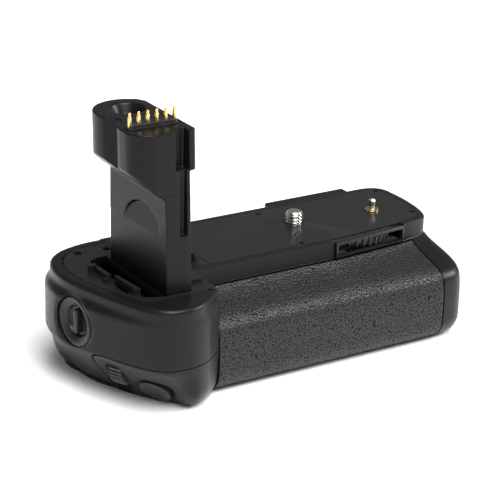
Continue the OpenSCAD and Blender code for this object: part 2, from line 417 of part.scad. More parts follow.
module pin_barrels() color([.85, .68, .3]) for (i = [0 : pin_n - 1]) difference() {
    rod([pin_x + pin_pitch * i, pin_y], .7, stalk_top - .4, stalk_top + block_h + 2.8);
    rod([pin_x + pin_pitch * i, pin_y], .5, stalk_top + .1, stalk_top + 10);
}
module contact_plungers() color([.9, .75, .4]) for (i = [0 : pin_n - 1]) translate([pin_x + pin_pitch * i, pin_y, stalk_top]) rotate_extrude()
    polygon([[0, 1.3], [.45, 1.3], [.45, block_h + pin_h - .3], [.25, block_h + pin_h], [0, block_h + pin_h]]);
/* ---------- electronics and rear controls ---------- */
module main_board() color([.1, .3, .15]) {
    box([-28, -10.4, 9.2], [56, -9, 25]);
    for (x = [-18, 2, 22, 38]) box([x, -9.1, 10], [x + 8, -7.4, 18]);
}
module rear_buttons_shape(x) translate([x, 0, rear_z]) rotate([-90, 0, 0]) {
    translate([0, 0, 30.6]) cylinder(r = rear_r, h = 4.7);
    translate([0, 0, 30.5]) cylinder(r = rear_r + 1.4, h = .7);
}
module ae_lock_button() color([.07, .07, .07]) rear_buttons_shape(rear_x[0]);
module af_point_button() color([.07, .07, .07]) rear_buttons_shape(rear_x[1]);
module af_start_button() color([.07, .07, .07]) rear_buttons_shape(rear_x[2]);
module rear_switches() color([.2, .2, .2]) {
    box([-42, 28.8, rear_z - 3], [-16, 29.3, rear_z + 3]);
    for (x = rear_x) translate([x, 29.2, rear_z]) rotate([-90, 0, 0]) cylinder(r = 1.5, h = .3);
}
module power_switch() color([.07, .07, .07]) {
    box([-10.2, 30.6, rear_z - 1.4], [-6.8, 35.4, rear_z + 1.4]);
    box([-11.4, 30.4, rear_z - 2.6], [-5.6, 31.4, rear_z + 2.6]);
}

main_housing();
rear_lug();
main_deck();
deck_screws();
stalk_deck();
stalk_screws();
bottom_cover();
case_screws();
grip_rubber();
rear_rubber();
window_frame();
drawer_cap();
cap_carrier();
control_cover();
shutter_button();
shutter_switch();
control_dial();
dial_axle();
dial_bracket();
lock_knob();
latch_arm();
latch_keeper();
bay_frame();
bay_contacts();
battery_tray();
cells();
tray_contacts();
thumbwheel();
wheel_axle();
camera_screw();
screw_pinion();
drive_bracket();
locating_pin();
pin_flange();
tripod_socket();
stalk_core();
stalk_head();
contact_block();
pin_barrels();
contact_plungers();
main_board();
ae_lock_button();
af_point_button();
af_start_button();
rear_switches();
power_switch();
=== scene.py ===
import bpy, bmesh, json, math
import numpy as np
from mathutils import Vector, Matrix


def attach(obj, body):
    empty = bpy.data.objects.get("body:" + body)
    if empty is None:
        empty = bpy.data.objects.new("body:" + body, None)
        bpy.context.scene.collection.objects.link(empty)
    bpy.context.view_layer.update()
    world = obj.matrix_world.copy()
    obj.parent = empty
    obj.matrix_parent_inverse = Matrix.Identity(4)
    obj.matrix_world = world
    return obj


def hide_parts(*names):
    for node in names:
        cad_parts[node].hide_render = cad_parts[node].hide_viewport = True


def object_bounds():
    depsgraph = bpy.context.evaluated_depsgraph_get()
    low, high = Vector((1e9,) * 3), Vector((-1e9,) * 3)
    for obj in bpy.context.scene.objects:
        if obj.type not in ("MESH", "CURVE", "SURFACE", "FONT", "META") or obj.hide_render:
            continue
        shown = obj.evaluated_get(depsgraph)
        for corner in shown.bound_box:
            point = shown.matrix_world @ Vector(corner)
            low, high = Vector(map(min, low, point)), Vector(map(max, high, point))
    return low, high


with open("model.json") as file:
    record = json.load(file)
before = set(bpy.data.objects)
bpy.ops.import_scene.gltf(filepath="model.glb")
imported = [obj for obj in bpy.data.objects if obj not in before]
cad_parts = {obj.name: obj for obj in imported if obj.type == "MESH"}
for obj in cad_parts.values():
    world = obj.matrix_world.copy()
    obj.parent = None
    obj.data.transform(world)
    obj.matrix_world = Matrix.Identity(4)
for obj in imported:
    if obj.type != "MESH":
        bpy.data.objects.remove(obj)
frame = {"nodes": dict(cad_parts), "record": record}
CAD_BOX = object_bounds()
N = frame["nodes"]
LOW, HIGH = np.array(CAD_BOX[0]) + 1e-6, np.array(CAD_BOX[1]) - 1e-6
MM = 0.001

# ------------------------------------------------------------------ dimensions, mm, the same as the CAD
DECK, WALL, RB = 39.2, 2.0, 8.0
TM = [(-31.7,-8.8),(-20,-8.8),(0,-8.8),(18,-8.8),(27,-8.9),(43,-7.9),(58,-6.4),(65,-5.2),(70.4,-3),(73,2),(74.3,8),(75,15),(75,22),(74.4,28),(72,31.2),(68,32.7),(61,32.9),(30,32.9),(0,32.9),(-25,32.9),(-45.7,32.9)]
BM = [(-31.7,-27.6),(-20,-27.6),(0,-27.6),(18,-27.6),(32,-27.6),(46,-27.6),(58,-27.6),(65,-27.2),(70.4,-25.8),(73.8,-22.2),(75,-14),(75,0),(75,14),(74.6,25),(72.4,31.6),(68,34),(61,34.5),(30,34.5),(0,34.5),(-25,34.5),(-45.7,34.5)]
TL = [(-46,32.9),(-52,32.7),(-58,31.6),(-64,29.3),(-69,24.8),(-72,18),(-73,9.2),(-71.8,.3),(-69.3,-8.5),(-66.8,-16.3),(-63.8,-24.2),(-60.3,-31),(-55.6,-35.2),(-50.5,-36.5),(-45.6,-36),(-41.2,-34),(-37.3,-31),(-34,-28.2),(-32.4,-27),(-32,-25.7)]
BL = [(-46,34.5),(-52.5,34.2),(-59,33),(-65.3,30.4),(-70.6,25.5),(-73.8,18.3),(-75,9),(-73.5,-.3),(-70.8,-9.2),(-67.9,-17),(-64.5,-24.8),(-60.6,-31.3),(-55.8,-35.4),(-50.5,-36.5),(-45.3,-36.2),(-40.6,-34.4),(-36.4,-31.4),(-33,-28.6),(-32,-27.2),(-32,-25.7)]
FL = [(-46,29.5),(-52,29.2),(-57.8,27.6),(-62.2,24.4),(-64.6,19),(-64.6,12.5),(-63.5,5),(-61.2,-1.8),(-58.6,-7.8),(-55.4,-14),(-52,-19.6),(-49,-23.4),(-46.6,-26),(-44.6,-27.4),(-42.4,-27.6),(-39.6,-26.6),(-36.6,-24.6),(-34.4,-22.4),(-33,-21),(-32,-19.6)]
TM, BM, TL, BL, FL = (np.array(t, float) for t in (TM, BM, TL, BL, FL))
KNOB_P, KNOB_C, KNOB_R = np.array([-73.5, 0.0, 25.3]), 188.5, 8.8
BTN_P, BTN_R = np.array([-54.4, -23.9, 5.8]), (0, 128.3, 212.5)
DIAL_P, DIAL_R, DIAL_ROT, DIAL_W = np.array([-62.4, -12.3, 7.8]), 7.5, (0, 125.5, 204.7), 5.0
SCREW_XY = np.array([24.6, 14.8])
WHEEL_XY = SCREW_XY + 20 * np.array([math.cos(math.radians(-19.9)), math.sin(math.radians(-19.9))])


def smooth(T):
    """Smooth curve through the points of a table, without overshoot."""
    T = np.array(sorted(T), float)
    x, y = T[:, 0], T[:, 1]
    h = np.diff(x)
    d = np.diff(y) / h
    m = np.zeros(len(x))
    for i in range(1, len(x) - 1):
        if d[i - 1] * d[i] > 0:
            a, b = 2 * h[i] + h[i - 1], h[i] + 2 * h[i - 1]
            m[i] = (a + b) / (a / d[i - 1] + b / d[i])
    m[0], m[-1] = d[0], d[-1]

    def f(q):
        q = np.clip(np.asarray(q, float), x[0], x[-1])
        i = np.clip(np.searchsorted(x, q, side="right") - 1, 0, len(h) - 1)
        t = (q - x[i]) / h[i]
        return y[i] * (1 + 2 * t) * (1 - t) ** 2 + h[i] * m[i] * t * (1 - t) ** 2 + y[i + 1] * t * t * (3 - 2 * t) + h[i] * m[i + 1] * t * t * (t - 1)
    return f


WF = smooth([(-1,1),(15,1),(20,.99),(23.4,.965),(25.6,.89),(27.1,.76),(28.2,.59),(29.5,.36),(31,.16),(32.2,.05),(32.8,0),(45,0)])
WL = smooth([(-1,1),(32,1),(33,.85),(34,.5),(35,.15),(36,0),(45,0)])
SS = smooth([(0,1),(1.2,.94),(3,.84),(6,.66),(10,.42),(14,.17),(16.5,.03),(17.6,0),(45,0)])
KS = smooth([(0,0),(2.5,0),(5,1),(11.5,1),(14.5,.15),(19,.15)])
RU = smooth([(0,8),(6.7,8),(9,6),(11,5),(20,5)])
CB = lambda u: np.interp(u, [0,7.7,7.72,7.82,7.97,8.27,8.7,19], [2.7,2.7,11.6,14.6,16.35,17.4,17.85,17.85])
CZ = lambda u: np.interp(u, [7.78,7.88,8.02,8.3,8.7,19], [11.5,14.2,15.9,17,17.5,17.5])
TI = lambda u: np.interp(u, [0,5,6,7,8,19], [4.2,4.2,4,3.7,3.4,3.4])


def crv(P, u):
    u = np.asarray(u, float)
    n = len(P) - 1
    i = np.clip(np.floor(u).astype(int), 0, n - 1)
    t = (u - i)[..., None]
    a, b, c, d = P[np.maximum(i - 1, 0)], P[i], P[i + 1], P[np.minimum(i + 2, n)]
    return .5 * (2 * b + (c - a) * t + (2 * a - 5 * b + 4 * c - d) * t ** 2 + (3 * b - a - 3 * c + d) * t ** 3)


def dcrv(P, u):
    return crv(P, np.minimum(u + .02, len(P) - 1)) - crv(P, np.maximum(u - .02, 0))


def rnd(z):
    return np.where(z < RB, 1 - np.sqrt(np.maximum(0, 1 - ((RB - np.minimum(z, RB)) / RB) ** 2)), 0)


def edge(z, r):
    h = np.clip(z - (DECK - r), 0, r)
    return r - np.sqrt(np.maximum(0, r * r - h * h))


def bar(u, z, ins=0.0):
    u, z = np.broadcast_arrays(np.asarray(u, float), np.asarray(z, float))
    w = WF(z)[..., None]
    d = dcrv(TM, u) * (1 - w) + dcrv(BM, u) * w
    d = d / np.linalg.norm(d, axis=-1, keepdims=True)
    o = np.stack([d[..., 1], -d[..., 0]], -1)
    p = crv(TM, u) * (1 - w) + crv(BM, u) * w - o * (ins + RU(u) * rnd(z) + edge(z, .6))[..., None]
    return np.concatenate([p, z[..., None]], -1)


def block(u, z, ins=0.0):
    u, z = np.broadcast_arrays(np.asarray(u, float), np.asarray(z, float))
    w = WL(z)[..., None]
    d = dcrv(TL, u) * (1 - w) + dcrv(BL, u) * w
    d = d / np.linalg.norm(d, axis=-1, keepdims=True)
    o = np.stack([d[..., 1], -d[..., 0]], -1)
    k = KS(u)
    s = (k * SS(z) + (1 - k) * rnd(z))[..., None]
    p = crv(TL, u) * (1 - w) + crv(BL, u) * w
    p = p * (1 - s) + crv(FL, u) * s - o * (ins + edge(z, 1.6))[..., None]
    return np.concatenate([p, z[..., None]], -1)


def step(a, b, x):
    t = np.clip((np.asarray(x, float) - a) / (b - a), 0, 1)
    return t * t * (3 - 2 * t)


def rot(r):
    x, y, z = (math.radians(v) for v in r)
    rx = np.array([[1,0,0],[0,math.cos(x),-math.sin(x)],[0,math.sin(x),math.cos(x)]])
    ry = np.array([[math.cos(y),0,math.sin(y)],[0,1,0],[-math.sin(y),0,math.cos(y)]])
    rz = np.array([[math.cos(z),-math.sin(z),0],[math.sin(z),math.cos(z),0],[0,0,1]])
    return rz @ ry @ rx


KNOB_M = rot((0, 90, KNOB_C))
BTN_M = rot(BTN_R)
DIAL_M = rot(DIAL_ROT)


def normals(G):
    """Outward directions of a grid whose rows run down and columns anticlockwise seen from above."""
    gi = np.gradient(G, axis=0)
    gj = np.gradient(G, axis=1)
    n = np.cross(gi, gj)
    return n / np.maximum(np.linalg.norm(n, axis=-1, keepdims=True), 1e-12)


def arc_rows(f, z0, z1, pitch):
    """Levels between z0 and z1, evenly spaced along the profile f(z)."""
    z = np.linspace(z0, z1, 1500)
    p = f(z)
    s = np.concatenate([[0], np.cumsum(np.linalg.norm(np.diff(p, axis=0), axis=1))])
    return np.interp(np.linspace(0, s[-1], max(2, int(s[-1] / pitch) + 1)), s, z)


def arc_cols(f, u0, u1, pitch):
    return arc_rows(f, u0, u1, pitch)


# ------------------------------------------------------------------ mesh helpers
def make(name, verts, faces, body, mat, slot=None, replaces=(), smooth_angle=40, bevel=None, grain=None):
    me = bpy.data.meshes.new(name)
    me.from_pydata([tuple(v) for v in np.clip(np.asarray(verts, float) * MM, LOW, HIGH)], [], [tuple(int(i) for i in f) for f in faces])
    if grain is not None:
        me.attributes.new("grain", "FLOAT", "POINT").data.foreach_set("value", np.asarray(grain, np.float32))
    me.validate()
    ob = bpy.data.objects.new(name, me)
    bpy.context.scene.collection.objects.link(ob)
    bm = bmesh.new()
    bm.from_mesh(me)
    bmesh.ops.remove_doubles(bm, verts=bm.verts, dist=2e-7)
    loose = [v for v in bm.verts if not v.link_faces]
    bmesh.ops.delete(bm, geom=loose, context="VERTS")
    bmesh.ops.recalc_face_normals(bm, faces=bm.faces)
    bm.to_mesh(me)
    bm.free()
    finish_piece(ob, body, mat, replaces, smooth_angle, bevel)
    return ob


def finish_piece(ob, body, mat, replaces=(), smooth_angle=40, bevel=None):
    ob.data.materials.clear()
    ob.data.materials.append(mat)
    shade(ob, smooth_angle, bevel)
    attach(ob, body)
    if replaces:
        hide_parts(*replaces)


def shade(ob, angle=40, bevel=None, weld=False, segments=3, limit=35):
    for p in ob.data.polygons:
        p.use_smooth = True
    if weld:
        m = ob.modifiers.new("weld", "WELD")
        m.merge_threshold = 1e-6
    if bevel:
        m = ob.modifiers.new("bevel", "BEVEL")
        m.width = bevel * MM
        m.segments = segments
        m.limit_method = "ANGLE"
        m.angle_limit = math.radians(limit)
        m.use_clamp_overlap = True
        m.miter_outer = "MITER_ARC"
        m.harden_normals = False
    ob.data.set_sharp_from_angle(angle=math.radians(angle)) if not bevel else ob.data.set_sharp_from_angle(angle=math.radians(75))
    if bevel:
        w = ob.modifiers.new("wn", "WEIGHTED_NORMAL")
        w.keep_sharp = False


def skin(G, H, on=None):
    """Faces of the closed solid between two grids; cells with on False stay open."""
    n, m, _ = G.shape
    o = n * m
    on = np.ones((n - 1, m - 1), bool) if on is None else on
    pad = np.zeros((n + 1, m + 1), bool)
    pad[1:-1, 1:-1] = on
    F = []
    for i in range(n - 1):
        for j in range(m - 1):
            if not on[i, j]:
                continue
            a = i * m + j; b = a + 1; d = a + m; c = d + 1
            F.append((a, b, c, d)); F.append((o + a, o + d, o + c, o + b))
            if not pad[i, j + 1]: F.append((b, a, o + a, o + b))
            if not pad[i + 2, j + 1]: F.append((d, c, o + c, o + d))
            if not pad[i + 1, j]: F.append((a, d, o + d, o + a))
            if not pad[i + 1, j + 2]: F.append((c, b, o + b, o + c))
    return np.concatenate([G.reshape(-1, 3), H.reshape(-1, 3)]), F


def lathe(profile, seg=96):
    """Closed solid of revolution about Z; the profile runs from the axis out and back to the axis."""
    P = np.array(profile, float)
    a = np.linspace(0, 2 * math.pi, seg, endpoint=False)
    V, F, idx = [], [], []
    for r, z in P:
        if r < 1e-6:
            idx.append([len(V)] * seg); V.append((0, 0, z))
        else:
            idx.append(list(range(len(V), len(V) + seg)))
            V += [(r * math.cos(t), r * math.sin(t), z) for t in a]
    for k in range(len(P) - 1):
        for j in range(seg):
            q = [idx[k][j], idx[k][(j + 1) % seg], idx[k + 1][(j + 1) % seg], idx[k + 1][j]]
            q = [x for i, x in enumerate(q) if x not in q[:i]]
            if len(q) > 2:
                F.append(q)
    return np.array(V, float), F


def rounded(points, r=.2, n=4):
    """Rounds the corners of an open polyline."""
    P = [np.array(p, float) for p in points]
    out = [P[0]]
    for a, b, c in zip(P[:-2], P[1:-1], P[2:]):
        u, v = a - b, c - b
        lu, lv = np.linalg.norm(u), np.linalg.norm(v)
        k = min(r, .45 * lu, .45 * lv)
        s, e = b + u / lu * k, b + v / lv * k
        out += [(1 - t) ** 2 * s + 2 * t * (1 - t) * b + t * t * e for t in np.linspace(0, 1, n + 1)]
    out.append(P[-1])
    return out


def rounded_box(a, b, r, n=3):
    """Box with rounded edges, as verts and faces."""
    a, b = np.array(a, float), np.array(b, float)
    bm = bmesh.new()
    bmesh.ops.create_cube(bm, size=1)
    for v in bm.verts:
        v.co = Vector((a + b) / 2 + np.array(v.co) * (b - a))
    bmesh.ops.bevel(bm, geom=bm.edges[:], offset=r, segments=n, profile=.5, affect="EDGES")
    bm.verts.index_update()
    V = [tuple(v.co) for v in bm.verts]
    F = [[v.index for v in f.verts] for f in bm.faces]
    bm.free()
    return np.array(V), F


def join(*parts):
    V, F, o = [], [], 0
    for v, f in parts:
        V.append(np.asarray(v, float)); F += [[i + o for i in q] for q in f]; o += len(v)
    return np.concatenate(V), F


def place(V, M, p):
    return np.asarray(V, float) @ np.asarray(M).T + np.asarray(p)


def cut(ob, V, F, op="DIFFERENCE"):
    """Takes a closed cutter out of a piece, or adds it."""
    me = bpy.data.meshes.new("cutter")
    me.from_pydata([tuple(v) for v in np.asarray(V) * MM], [], [tuple(f) for f in F])
    c = bpy.data.objects.new("cutter", me)
    bpy.context.scene.collection.objects.link(c)
    bm = bmesh.new(); bm.from_mesh(me); bmesh.ops.recalc_face_normals(bm, faces=bm.faces); bm.to_mesh(me); bm.free()
    m = ob.modifiers.new("cut", "BOOLEAN")
    m.operation, m.solver, m.object = op, "EXACT", c
    bpy.context.view_layer.update()
    dg = bpy.context.evaluated_depsgraph_get()
    new = bpy.data.meshes.new_from_object(ob.evaluated_get(dg))
    ob.modifiers.remove(m)
    old = ob.data
    ob.data = new
    bpy.data.meshes.remove(old)
    new.name = ob.name
    bpy.data.objects.remove(c)
    bpy.data.meshes.remove(me)


def box(a, b):
    V = [(x, y, z) for x in (a[0], b[0]) for y in (a[1], b[1]) for z in (a[2], b[2])]
    return np.array(V, float), [(0, 1, 3, 2), (4, 6, 7, 5), (0, 4, 5, 1), (2, 3, 7, 6), (0, 2, 6, 4), (1, 5, 7, 3)]


def prism(P, z0, z1):
    """Upright solid over an outline given anticlockwise."""
    n = len(P)
    V = [(x, y, z0) for x, y in P] + [(x, y, z1) for x, y in P]
    return np.array(V, float), [tuple(range(n))[::-1], tuple(range(n, 2 * n))] + [(i, (i + 1) % n, n + (i + 1) % n, n + i) for i in range(n)]


def drum(r, z0, z1, seg=96):
    return lathe([(0, z0), (r, z0), (r, z1), (0, z1)], seg)


# ------------------------------------------------------------------ materials
def nodes_of(name):
    m = bpy.data.materials.new(name)
    m.use_nodes = True
    nt = m.node_tree
    b = nt.nodes["Principled BSDF"]
    return m, nt, b


def L(nt, a, b):
    nt.links.new(a, b)


def noise(nt, scale, detail=3, rough=.55, coord=None, dist=0.0):
    n = nt.nodes.new("ShaderNodeTexNoise")
    n.inputs["Scale"].default_value = scale
    n.inputs["Detail"].default_value = detail
    n.inputs["Roughness"].default_value = rough
    n.inputs["Distortion"].default_value = dist
    L(nt, coord, n.inputs["Vector"])
    return n.outputs["Fac"]


def ramp(nt, fac, a, b, lo=0.3, hi=0.7):
    r = nt.nodes.new("ShaderNodeMapRange")
    r.inputs["From Min"].default_value, r.inputs["From Max"].default_value = lo, hi
    r.inputs["To Min"].default_value, r.inputs["To Max"].default_value = a, b
    r.clamp = True
    L(nt, fac, r.inputs["Value"])
    return r.outputs["Result"]


def mixc(nt, fac, a, b):
    m = nt.nodes.new("ShaderNodeMix")
    m.data_type = "RGBA"
    if isinstance(fac, float): m.inputs["Factor"].default_value = fac
    else: L(nt, fac, m.inputs["Factor"])
    for s, v in ((m.inputs["A"], a), (m.inputs["B"], b)):
        pass
    ins = [i for i in m.inputs if i.type == "RGBA"]
    for s, v in zip(ins, (a, b)):
        if isinstance(v, tuple): s.default_value = (*v, 1)
        else: L(nt, v, s)
    return [o for o in m.outputs if o.type == "RGBA"][0]


def bump(nt, height, strength, dist, normal=None):
    b = nt.nodes.new("ShaderNodeBump")
    b.inputs["Strength"].default_value = strength
    b.inputs["Distance"].default_value = dist
    L(nt, height, b.inputs["Height"])
    if normal is not None:
        L(nt, normal, b.inputs["Normal"])
    return b.outputs["Normal"]


def plastic(name, col, rough, grain=2600.0, grain_h=.000012, strength=.5, wear_and_hollow_shade=.5, spec=.5, metallic=0.0, wear_col=None, spread=.07, painted_shade_z=None):
    """Moulded black plastic: fine eroded grain, uneven sheen, faint dust and rubbed edges."""
    m, nt, b = nodes_of(name)
    tc = nt.nodes.new("ShaderNodeTexCoord").outputs["Object"]
    fine = noise(nt, grain, 2, .6, tc)
    broad = noise(nt, 90.0, 4, .6, tc)
    patch = noise(nt, 420.0, 3, .55, tc)
    geo = nt.nodes.new("ShaderNodeNewGeometry")
    edge_f = ramp(nt, geo.outputs["Pointiness"], 0.0, wear_and_hollow_shade, .53, .62)
    base = mixc(nt, ramp(nt, broad, 0.0, 1.0), tuple(c * .88 for c in col), tuple(c * 1.14 for c in col))
    base = mixc(nt, ramp(nt, fine, 0.0, .35, .45, .75), base, tuple(min(1, c * 1.7) for c in col))
    base = mixc(nt, edge_f, base, wear_col or tuple(min(1, c * 2.2 + .006) for c in col))
    if painted_shade_z:
        # painted shade inside a pocket: darker and matt towards the floor, where shadow falls
        sep = nt.nodes.new("ShaderNodeSeparateXYZ")
        L(nt, geo.outputs["Position"], sep.inputs["Vector"])
        low = ramp(nt, sep.outputs["Z"], 1.0, 0.0, painted_shade_z[0], painted_shade_z[1])
        base = mixc(nt, low, base, tuple(c * .06 for c in col))
        L(nt, ramp(nt, low, spec, .02, 0.0, .7), b.inputs["Specular IOR Level"])
    L(nt, base, b.inputs["Base Color"])
    L(nt, ramp(nt, patch, rough - spread, rough + spread), b.inputs["Roughness"])
    L(nt, bump(nt, fine, strength, grain_h), b.inputs["Normal"])
    if not painted_shade_z:
        b.inputs["Specular IOR Level"].default_value = spec
    b.inputs["Metallic"].default_value = metallic
    return m


def rubber_mat(name, col, rough=.5):
    """Grained rubber: lighter cell tops are a painted highlight, darker creases between them are painted shade."""
    m, nt, b = nodes_of(name)
    tc = nt.nodes.new("ShaderNodeTexCoord").outputs["Object"]
    at = nt.nodes.new("ShaderNodeAttribute")
    at.attribute_name = "grain"
    cell = at.outputs["Fac"]
    fine = noise(nt, 2400.0, 4, .6, tc)
    broad = noise(nt, 70.0, 3, .5, tc)
    base = mixc(nt, ramp(nt, broad, 0.0, 1.0), tuple(c * .85 for c in col), tuple(c * 1.15 for c in col))
    # painted shade: creases darkened towards black
    base = mixc(nt, ramp(nt, cell, .95, 0.0, .12, .6), base, tuple(c * .22 for c in col))
    # painted highlight: cell tops lightened
    base = mixc(nt, ramp(nt, cell, 0.0, .85, .5, .95), base, tuple(c * 2.0 for c in col))
    base = mixc(nt, ramp(nt, fine, 0.0, .35, .5, .75), base, tuple(min(1, c * 1.8) for c in col))
    L(nt, base, b.inputs["Base Color"])
    L(nt, ramp(nt, cell, rough + .2, rough - .1, .2, .8), b.inputs["Roughness"])
    # specular also lowered in the creases, with the painted shade
    L(nt, ramp(nt, cell, .05, .42, .12, .75), b.inputs["Specular IOR Level"])
    L(nt, bump(nt, fine, .4, .00002), b.inputs["Normal"])
    return m


def metal(name, col, rough, brushed=0.0, wear_and_hollow_shade=0.25):
    m, nt, b = nodes_of(name)
    tc = nt.nodes.new("ShaderNodeTexCoord").outputs["Object"]
    mp = nt.nodes.new("ShaderNodeMapping")
    mp.inputs["Scale"].default_value = (1, 1, 6) if brushed else (1, 1, 1)
    L(nt, tc, mp.inputs["Vector"])
    fine = noise(nt, 1800.0, 3, .6, mp.outputs["Vector"])
    broad = noise(nt, 260.0, 4, .6, tc)
    base = mixc(nt, ramp(nt, broad, 0.0, 1.0), tuple(c * .82 for c in col), col)
    geo = nt.nodes.new("ShaderNodeNewGeometry")
    # painted shade: colour darkened in the hollows (low pointiness), where shade falls
    base = mixc(nt, ramp(nt, geo.outputs["Pointiness"], wear_and_hollow_shade, 0.0, .4, .5), base, tuple(c * .35 for c in col))
    L(nt, base, b.inputs["Base Color"])
    L(nt, ramp(nt, fine, max(.05, rough - .08), rough + .1), b.inputs["Roughness"])
    L(nt, bump(nt, fine, .3, .000008), b.inputs["Normal"])
    b.inputs["Metallic"].default_value = 1.0
    return m


BLACK = plastic("shell_black", (.005, .005, .0053), .36, spec=.22, spread=.04)
BLACK2 = plastic("stalk_black", (.0048, .0048, .0051), .35, grain=3200.0, grain_h=.000008, spec=.19, spread=.04)
DECKM = plastic("deck_black", (.0075, .0075, .008), .28, grain=3800.0, grain_h=.000004, strength=.3, spec=.34, spread=.025)
# pocket material with painted shade: colour and specular fall off towards the pocket floor
POCKET_PAINTED_SHADE = plastic("pocket_black_painted_shade", (.0085, .0085, .009), .36, grain=3400.0, grain_h=.000006, spec=.3, painted_shade_z=(.0352, .0392))
CONTROL = plastic("control_black", (.010, .010, .0105), .34, grain=3000.0, grain_h=.000008, spec=.35)
# wheel and dial plastic painted several times lighter than the other black parts as painted light, so their ribs read
# as lit
RIBS_PAINTED_LIGHT = plastic("wheel_black_painted_light", (.042, .042, .043), .33, grain=1800.0, grain_h=.000006, spec=.4)
INNER = plastic("inner_grey", (.045, .045, .048), .5, grain=2000.0)
RUBBER = rubber_mat("grip_rubber_mat", (.0105, .0105, .0109), .4)
BOARD = plastic("board_green", (.02, .09, .04), .38, grain=900.0, grain_h=.00001)
NICKEL = metal("nickel", (.80, .77, .70), .17)
STEEL = metal("steel", (.56, .56, .58), .32, 1.0)
DARKSCREW = metal("dark_screw", (.035, .035, .037), .35)
BRASS = metal("brass", (.72, .56, .27), .26)
GOLD = metal("gold", (.93, .66, .25), .2)
CELL = plastic("cell_wrap", (.10, .095, .085), .26, grain=3200.0, grain_h=.000002, wear_and_hollow_shade=.1, metallic=.55, spread=.04)
MATS = {"shell": BLACK, "deck": DECKM, "rubber": RUBBER, "control": CONTROL, "inner": INNER, "board": BOARD, "steel": STEEL,
        "black_screw": DARKSCREW, "nickel": NICKEL, "brass": BRASS, "gold": GOLD, "cell": CELL}
SLOT_OF = {s["node"]: s["material_slot"] for s in frame["record"]["subparts"]}
BEVEL = {"stalk_core": .25, "stalk_head": .3, "stalk_deck": .25, "main_deck": .2, "window_frame": .22, "contact_block": .25, "rear_lug": .6,
         "bottom_cover": .25, "shutter_button": .3, "ae_lock_button": .35, "af_point_button": .35, "af_start_button": .35, "power_switch": .35,
         "bay_frame": .2, "battery_tray": .25, "cap_carrier": .25, "latch_arm": .15, "latch_keeper": .15, "tripod_socket": .25,
         "deck_screws": .06, "stalk_screws": .08, "case_screws": .12, "pin_barrels": .08, "pin_flange": .1, "locating_pin": .08, "cells": .35,
         "tray_contacts": .1, "bay_contacts": .15, "main_board": .1, "drive_bracket": .12, "rear_switches": .1, "shutter_switch": .1,
         "dial_bracket": .15, "dial_axle": .12, "wheel_axle": .12, "screw_pinion": .06, "contact_plungers": .05}
for name, ob in N.items():
    ob.data.materials.clear()
    ob.data.materials.append(MATS[SLOT_OF[name]])
    shade(ob, 40, BEVEL.get(name), weld=True, segments=2)
# stalk deck: pocket material with painted shade towards its floor
N["stalk_deck"].data.materials[0] = POCKET_PAINTED_SHADE
N["contact_block"].data.materials[0] = CONTROL

# ------------------------------------------------------------------ main housing
zz = np.concatenate([[DECK, DECK - .12, DECK - .25, DECK - .4, DECK - .6, 38, 37, 36, 35, 34, 33.2, 32.8, 32.62, 32.58],
                     arc_rows(lambda z: bar(np.full(len(z), 2.0), z), 32.2, .95, 1.0), [.72, .68, .4, 0]])
hole_r, rear_z, rear_x = 2.85, 24.0, (-38, -29, -20)
us = np.concatenate([arc_cols(lambda u: bar(u, np.full(len(u), 36.0)), 0, 6.66, 1.4), [6.69, 6.71, 6.74],
                     arc_cols(lambda u: bar(u, np.full(len(u), 12.0)), 6.78, 16, .8)[:-1], arc_cols(lambda u: bar(u, np.full(len(u), 12.0)), 16, 20, 1.5)])
WIN = (3.94, 6.08)
us = np.array(sorted(set(np.round(us, 4)) - {u for u in np.round(us, 4) if min(abs(u - WIN[0]), abs(u - WIN[1])) < .06} | set(WIN)))
U, Z = np.meshgrid(us, zz)
G = bar(U, Z)
nn = normals(G)
flat = nn.copy(); flat[..., 2] = 0; flat /= np.maximum(np.linalg.norm(flat, axis=-1, keepdims=True), 1e-9)
nn = np.where((Z > 33)[..., None], flat, nn)
rec = ((Z < 32.6) & (Z > .7) & (U < 6.7)) * 1.3
O = G - nn * rec[..., None]
H = G - nn * np.where((Z < 32.8) & (U < 6.8), WALL + .9, WALL)[..., None]
H[..., 2] = np.maximum(H[..., 2], .25)
cz, cu = (zz[:-1] + zz[1:]) / 2, (us[:-1] + us[1:]) / 2
on = ~((cz[:, None] > 32.8) & (cu[None] > WIN[0]) & (cu[None] < WIN[1]))
housing = make("housing_shell", *skin(O, H, on), "housing", BLACK, "shell", ("main_housing",), 35)
turn = np.array([[1, 0, 0], [0, 0, 1], [0, -1, 0]], float)
for x in rear_x:
    V, F = drum(hole_r, -6, 6, 64)
    cut(housing, place(V, turn, (x, 34, rear_z)), F)
V, F = rounded_box((-12.2, 29, rear_z - 1.7), (-2.8, 40, rear_z + 1.7), .5)
cut(housing, V, F)
shade(housing, 35)

# ------------------------------------------------------------------ front rubber, pebbled
def cells(s, t, size, seed):
    """Distance to the nearest and second nearest of a field of scattered points."""
    s, t = s / size, t / size
    i, j = np.floor(s).astype(int), np.floor(t).astype(int)
    d1 = np.full(s.shape, 9.0); d2 = np.full(s.shape, 9.0)
    for a in (-1, 0, 1):
        for b in (-1, 0, 1):
            p, q = i + a, j + b
            h = (p * 73856093 ^ q * 19349663 ^ seed * 83492791) & 0x7fffffff
            h = (h * 1103515245 + 12345) & 0x7fffffff
            fx = ((h >> 4) & 1023) / 1023.0
            fy = ((h >> 15) & 1023) / 1023.0
            d = np.hypot(p + fx - s, q + fy - t)
            d2 = np.minimum(d2, np.maximum(d1, d)); d1 = np.minimum(d1, d)
    return d1, d2


